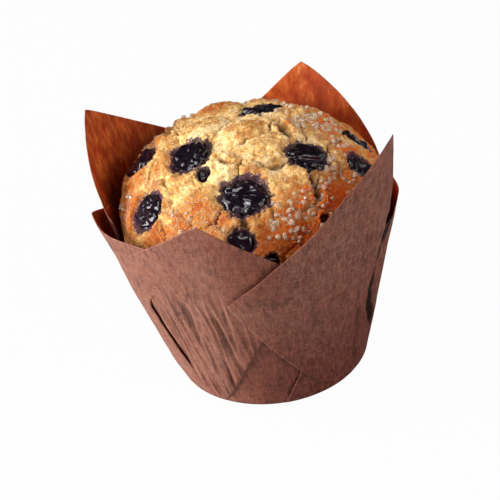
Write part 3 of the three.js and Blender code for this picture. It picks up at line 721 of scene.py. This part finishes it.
def crust_recipe(finish):
    sizes = {
        "Grid": 308, "Radius": CROWN_RADIUS, "Rise": CROWN_RISE, "Base": CROWN_BASE, "Shift": CROWN_SHIFT,
        "Crag Rise": 2.1, "Crack Depth": 1.5, "Split Depth": 2.4, "Dish Depth": 0.7, "Clod": 0.6, "Crumb": 1.9,
        "Seed": float(SEED),
    }
    r = Recipe("crust", sizes)
    sheet, u, v = r.grid(r["Grid"], r["Grid"])
    u, v = u * 2.0 - 1.0, v * 2.0 - 1.0
    # The square grid is rounded to a disc, whose outer ring turns down the wall and in under the base.
    x, y = u * (1.0 - v * v * 0.5) ** 0.5, v * (1.0 - u * u * 0.5) ** 0.5
    ring = (x * x + y * y + 1e-9) ** 0.5
    crown, wall, base = (ring / 0.94).clamped(), ((ring - 0.94) / 0.04).clamped(), ((ring - 0.98) / 0.02).clamped()
    tilt = crown * math.radians(CROWN_LEAN)
    sine, cosine = tilt.math("SINE"), tilt.math("COSINE")
    east, north = x / ring, y / ring
    low_radius = BASE_RADIUS - CRUMB_INSET
    out = (r["Radius"] * sine - (CROWN_RADIUS - low_radius) * wall ** 0.7) * (1.0 - base)
    floor = CROWN_BASE + CROWN_RISE * math.cos(math.radians(CROWN_LEAN)) - 0.9
    plain = r.point(r["Shift"] * cosine + out * east, out * north, r["Base"] + r["Rise"] * cosine - floor * wall)
    facing = r.point(sine / r["Radius"] * east, sine / r["Radius"] * north, cosine / r["Rise"]).vector("NORMALIZE")
    lean = crown * CROWN_LEAN

    # How brown each place is baked. Pale places are crumbly and brown ones smooth.
    browned = lean.step(16.0, 72.0) * 0.55 + 0.28 + patches(plain, BROWNED)
    browned = browned + (plain.noise(7.0, 3.0, 0.6, seed=2.0) - 0.5) * 0.6
    crumbly = browned.step(0.25, 0.75, 1.0, 0.3)

    # Lumps meet in creases; the domain is warped so that they are ragged.
    jog = plain.noise(4.5, 4.0, 0.65, "Color", seed=r["Seed"]).vector("SUBTRACT", (0.5, 0.5, 0.5)).scaled(4.6)
    ragged = plain.shift(jog)
    best = second = None
    for middle, reach in all_crags():
        gap = ragged.vector("DISTANCE", tuple(middle), out="Value") / reach
        share = (1.0 - gap * gap) * (reach / 9.0)
        second = share * 0.0 - 1.0 if best is None else best.least(share).most(second)
        best = share if best is None else best.most(share)
    some = plain.noise(11.0, 2.0, 0.5, seed=3.0).step(0.38, 0.54)
    crease = (best - second).step(0.0, 0.17, 1.0, 0.0) * some * lean.step(40.0, 70.0, 1.0, 0.2)
    lines = [[crown_point(bearing, tilted) for bearing, tilted in line] for line in SPLITS]
    split = nearest_line(plain.shift(jog), lines) + (plain.noise(1.6, 2.0, 0.5, seed=1.0) - 0.5) * 0.9
    gaping = split.step(0.45, 1.5, 1.0, 0.0) * plain.noise(5.0, 2.0, 0.5, seed=6.0).step(0.35, 0.55, 0.45, 1.0)
    shoulder = split.step(0.9, 1.7) * split.step(1.7, 4.5, 1.0, 0.0)

    # Berries: the crust dips to each one, with a broken lip, and makes a socket under it.
    ring_to = None
    for middle, axes, halves in berries.values():
        from_middle = plain.vector("SUBTRACT", tuple(middle))
        parts = [from_middle.dot(tuple(a / h)) for a, h in zip(axes, (halves[0], halves[1], halves[2] * 2.4))]
        away = r.point(*parts).length()
        ring_to = away if ring_to is None else ring_to.least(away)
    tatter = plain.noise(2.4, 3.0, 0.65, seed=7.0) - 0.5
    near = ring_to + tatter * 0.8
    dish = near.step(1.0, 1.36, 1.0, 0.0)
    lip = near.step(1.12, 1.36) * near.step(1.36, 1.9, 1.0, 0.0)
    socket = (ring_to + tatter * 0.85).step(0.76, 1.02, 1.0, 0.0)

    clods = (0.5 - ragged.cells(2.6, "SMOOTH_F1")) + (0.5 - plain.shift(jog.scaled(0.5)).cells(1.3)) * 0.5
    pits = plain.noise(1.5, 2.0, 0.5, seed=8.0).step(0.62, 0.74) * crumbly
    crumb = plain.noise(1.1, 4.0, 0.65, seed=5.0) - 0.5
    fade = lean.step(76.0, 87.0, 1.0, 0.0)
    relief = r["Crag Rise"] * lean.step(30.0, 75.0, 1.0, 0.55) * (best - 0.45)
    relief = relief - r["Crack Depth"] * crease + r["Clod"] * clods * crumbly + r["Crumb"] * crumb * (0.3 + crumbly * 0.7)
    relief = relief - r["Split Depth"] * gaping + shoulder * 0.8 - pits * 0.6
    relief = relief * (1.0 - dish * 0.7) + lip * 0.5 - r["Dish Depth"] * dish - socket * 4.0

    # What the crust's finish and its sugar read is stored while the sheet is still flat.
    clear = near.step(1.0, 1.2)
    marks = {
        "browned": browned + (best.most(0.1) - 0.5) * 0.5,
        # Painted shade for the cracks, creases and pits.
        "crack": crease.most(gaping).most(pits * 0.7),
        "stain": (near.step(1.0, 1.3, 1.0, 0.0) + patches(plain, STAINED) * (tatter * 2.4 + 0.5)).clamped(),
        "sugared": patches(plain, SUGARED).clamped() * clear * fade,
        "frosted": (patches(plain, FROSTED) + 0.3).clamped() * clear * fade,
    }
    for label, value in marks.items():
        sheet = r.store(sheet, label, value)
    swell = patches(plain, SWELLS)
    placed = r.placed(sheet, plain.shift(facing.scaled(relief * fade + swell * wall.step(0.0, 0.6, 1.0, 0.0))))
    joined = r.add("GeometryNodeMergeByDistance", None, {"Geometry": placed, "Distance": 0.0005})
    r.close(joined, finish)
    return r


def berry_recipe(finish):
    """A baked berry: a slumped round whose skin has sunk into folds."""
    sizes = {"Length": 12.0, "Width": 10.0, "Depth": 8.0, "Section": 4.0, "Fold": 0.6, "Seed": 0.0, "Detail": 6}
    r = Recipe("baked_berry", sizes)
    ball = r.add("GeometryNodeMeshIcoSphere", None, {"Radius": 1.0, "Subdivisions": r["Detail"]})
    place = r.add("GeometryNodeInputPosition")
    parts = r.add("ShaderNodeSeparateXYZ", None, {0: place})
    x, y, z = parts.pick("X"), parts.pick("Y"), parts.pick("Z")
    level = (x * x + y * y) ** 0.5
    slump = (level ** r["Section"] + abs(z) ** r["Section"]) ** (-1.0 / r["Section"])
    oval = r.point(x * slump * r["Length"] * 0.5, y * slump * r["Width"] * 0.5, z * slump * r["Depth"] * 0.5)
    bent = oval.stretched((0.6, 1.0, 1.0))
    ridges = abs(bent.noise(5.0, 1.5, 0.5, warp=0.6, seed=r["Seed"]) - 0.5) * 5.0
    broad = bent.noise(5.0, 2.0, 0.5, seed=r["Seed"] + 3.0) - 0.5
    lobes = (oval.noise(3.2, 2.0, 0.6, seed=r["Seed"] + 8.0) - 0.5) * level * level
    sunk = ridges.least(1.0) * r["Fold"] * 1.8 + broad * 2.0 + lobes * 3.2 - r["Fold"] * 1.2
    r.close(r.placed(ball, oval.shift(place.scaled(sunk))), finish)
    return r


def scatter_sugar(name, finish, crust, where, density, size, rounds):
    """Sugar crystals scattered on the crust, as thick as the named mark on it says."""
    r = Recipe(name, {"Density": density, "Size": size, "Seed": SEED, "Rounds": rounds})
    base = r.add("GeometryNodeObjectInfo", None, {"Object": crust}, "Geometry")
    ground = r.add("GeometryNodeTransform", None, {"Geometry": base, "Scale": (1 / MM,) * 3})
    mask = r.add("GeometryNodeInputNamedAttribute", {"data_type": "FLOAT"}, {"Name": where})
    spots = r.add(
        "GeometryNodeDistributePointsOnFaces", {"distribute_method": "RANDOM"},
        {"Mesh": ground, "Density": r["Density"] * mask, "Seed": r["Seed"]},
    )
    block = r.add("GeometryNodeMeshCube", None, {"Size": (1.0, 1.0, 1.0)})
    crystal = r.add("GeometryNodeSubdivisionSurface", None, {"Mesh": block, "Level": r["Rounds"], "Edge Crease": 0.35})
    spin = {"Min": (0.0, 0.0, 0.0), "Max": (6.28, 6.28, 6.28), "Seed": r["Seed"]}
    turn = r.add("FunctionNodeRandomValue", {"data_type": "FLOAT_VECTOR"}, spin)
    sides = {"Min": (0.6, 0.55, 0.5), "Max": (1.15, 1.0, 0.9), "Seed": 3}
    wide = r.add("FunctionNodeRandomValue", {"data_type": "FLOAT_VECTOR"}, sides)
    grains = r.add(
        "GeometryNodeInstanceOnPoints", None,
        {"Points": spots, "Instance": crystal, "Rotation": turn, "Scale": wide.scaled(r["Size"])},
    )
    r.close(grains, finish, smooth=False)
    return r.make(name)


# The scene: the paper, the muffin in it, and its sugar.

outside, inside = paper_outside(), paper_inside()
cup = cup_recipe(outside).make("case_cup", thickness=PLY, lining=inside)
settle(cup, "paper", "paper_case")
flap = flap_recipe(outside)
for name, sizes in FLAPS.items():
    settle(flap.make(name, sizes, thickness=PLY, lining=inside), "paper", "paper_case")
petal = petal_recipe(outside)
for number, (name, sizes) in enumerate(PETALS.items()):
    sheet = petal.make(name, {**sizes, "Seed": 3.0 + 7.0 * number}, thickness=PLY, lining=inside)
    settle(sheet, "paper", "paper_case")

crust = crust_recipe(baked_crust()).make("crust")
skin = berry_recipe(berry_skin())
for number, node in enumerate(BERRY_NODES):
    middle, axes, halves = berries[node]
    length, width, depth = (float(2 * h) for h in halves)
    values = {"Length": length, "Width": width, "Depth": depth, "Seed": 5.0 + 3.0 * number, "Detail": 6 if length > 8 else 5}
    berry = skin.make(node + "_skin", values)
    pose = Matrix([[a[i] for a in axes] + [middle[i] * MM] for i in range(3)] + [[0, 0, 0, 1]])
    berry.data.transform(pose)
    settle(berry, "berry", node)

crystal = sugar_crystal()
coarse = scatter_sugar("sugar_coarse", crystal, crust, "sugared", 0.36, 1.6, 1)
fine = scatter_sugar("sugar_fine", crystal, crust, "frosted", 1.6, 0.34, 0)
for piece in (crust, coarse, fine):
    settle(piece, "crust", "muffin")

# Floor, light and camera.

floor_mesh = bpy.data.meshes.new("floor")
floor_mesh.from_pydata([(-2, -2, -0.0002), (2, -2, -0.0002), (2, 2, -0.0002), (-2, 2, -0.0002)], [], [(0, 1, 2, 3)])
floor = bpy.data.objects.new("floor", floor_mesh)
floor_mesh.materials.append(floor_finish())
bpy.context.scene.collection.objects.link(floor)

MIDDLE = Vector((0, 0, 0.035))


def area_light(name, place, size, power, colour=(1, 1, 1)):
    data = bpy.data.lights.new(name, "AREA")
    data.size, data.energy, data.color = size, power, colour
    lamp = bpy.data.objects.new(name, data)
    lamp.location = place
    lamp.rotation_mode = "QUATERNION"
    lamp.rotation_quaternion = (MIDDLE - Vector(place)).to_track_quat("-Z", "Y")
    bpy.context.scene.collection.objects.link(lamp)
    return lamp


area_light("key", (-0.95, -0.2, 0.3), 0.6, 16.5)
area_light("top", (-0.5, -0.1, 1.0), 0.6, 7.0)
area_light("fill", (0.7, -0.7, 0.5), 0.6, 5.6)
area_light("rim", (0.95, 0.0, 0.5), 0.6, 2.0)

world = bpy.data.worlds.new("studio")
world.use_nodes = True
sky = next(n for n in world.node_tree.nodes if n.type == "BACKGROUND")
sky.inputs["Color"].default_value = (1, 1, 1, 1)
sky.inputs["Strength"].default_value = 0.04
scene = bpy.context.scene
scene.world = world
scene.view_settings.view_transform = "Standard"

# The camera looks down at the front with a small roll.
ELEVATION = math.radians(33.66)
ROLL = math.radians(-8.114)
FOCAL = 2128.2  # in pixels of the 500-pixel frame
FRAME_SIDE = 500
CENTRE = (260.43, 249.05)  # where the line of sight meets the frame
DISTANCE = 0.6
ahead = Vector((0, math.cos(ELEVATION), -math.sin(ELEVATION)))
level = Vector((1, 0, 0))
upright = level.cross(ahead)
side = math.cos(ROLL) * level + math.sin(ROLL) * upright
up = -math.sin(ROLL) * level + math.cos(ROLL) * upright
aim = ahead + side * ((FRAME_SIDE / 2 - CENTRE[0]) / FOCAL) + up * ((CENTRE[1] - FRAME_SIDE / 2) / FOCAL)
aim.normalize()
side = (side - aim * side.dot(aim)).normalized()
up = side.cross(aim)
camera_data = bpy.data.cameras.new("camera")
camera_data.sensor_width = 36.0
camera_data.lens = FOCAL * camera_data.sensor_width / FRAME_SIDE
camera_data.clip_start, camera_data.clip_end = 0.01, 20.0
camera = bpy.data.objects.new("camera", camera_data)
turned = Matrix([[side[i], up[i], -aim[i]] for i in range(3)])
camera.matrix_world = Matrix.Translation(MIDDLE - ahead * DISTANCE) @ turned.to_4x4()
scene.collection.objects.link(camera)
scene.camera = camera
